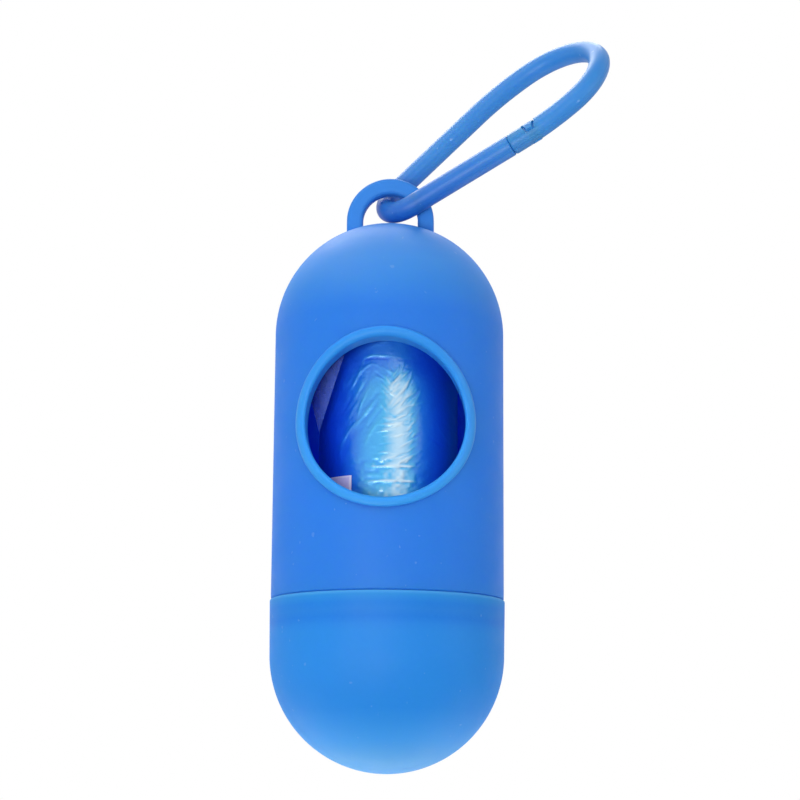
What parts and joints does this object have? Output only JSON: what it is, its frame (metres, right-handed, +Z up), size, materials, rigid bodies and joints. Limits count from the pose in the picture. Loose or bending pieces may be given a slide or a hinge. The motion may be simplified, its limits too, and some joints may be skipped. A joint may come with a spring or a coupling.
{
  "type": "dog poop bag dispenser",
  "caption": "Pill-shaped two-part dispenser with a round window, holding a roll of bags, on a moulded spring clip.",
  "frame": {"origin": "centre of the eyelet's arch on top of the capsule, on the capsule's axis, where the capsule hangs from its clip", "axes": "+Z up along the capsule's axis; -Y is the front, with the window; +X is the right side, towards which the clip points"},
  "size_m": [0.0589, 0.0407, 0.1308],
  "materials": {
    "shell": "fine satin moulding texture",
    "cap": "fine satin moulding texture",
    "bezel": "smooth satin",
    "clip": "smooth satin with fine parting lines",
    "film": "thin wrinkled film",
    "core": "wound cardboard",
    "label": "plain matt paper"
  },
  "bodies": {
    "clip": {"clip_frame": "clip"},
    "gate": {"clip_gate": "clip"},
    "housing": {"body_shell": "shell", "window_bezel": "bezel"},
    "cap": {"bottom_cap": "cap"},
    "roll": {"roll_core": "core", "bag_01": "film", "bag_02": "film", "bag_03": "film", "bag_04": "film", "bag_05": "film", "bag_06": "film", "bag_07": "film", "bag_08": "film", "bag_09": "film", "bag_10": "film", "bag_11": "film", "bag_12": "film", "bag_13": "film", "bag_14": "film", "bag_15": "film", "bag_loose_end": "film", "roll_label": "label"}
  },
  "joints": [
    {"name": "gate_flex", "type": "hinge", "parent": "clip", "child": "gate", "pos_m": [0.00639, -0.00404, 0.0034], "axis": [-0.526, -0.5832, 0.619], "range_deg": [0, 25], "stiffness_Nm_per_rad": 0.08},
    {"name": "eyelet_swing", "type": "hinge", "parent": "clip", "child": "housing", "pos_m": [0, 0, 0], "axis": [0, 1, 0], "range_deg": [-17, 54]},
    {"name": "cap_pull", "type": "slide", "parent": "housing", "child": "cap", "axis": [0, 0, -1], "range_m": [0, 0.05]},
    {"name": "roll_spin", "type": "hinge", "parent": "cap", "child": "roll", "pos_m": [0, 0, -0.058], "axis": [0, 0, 1], "continuous": true}
  ]
}
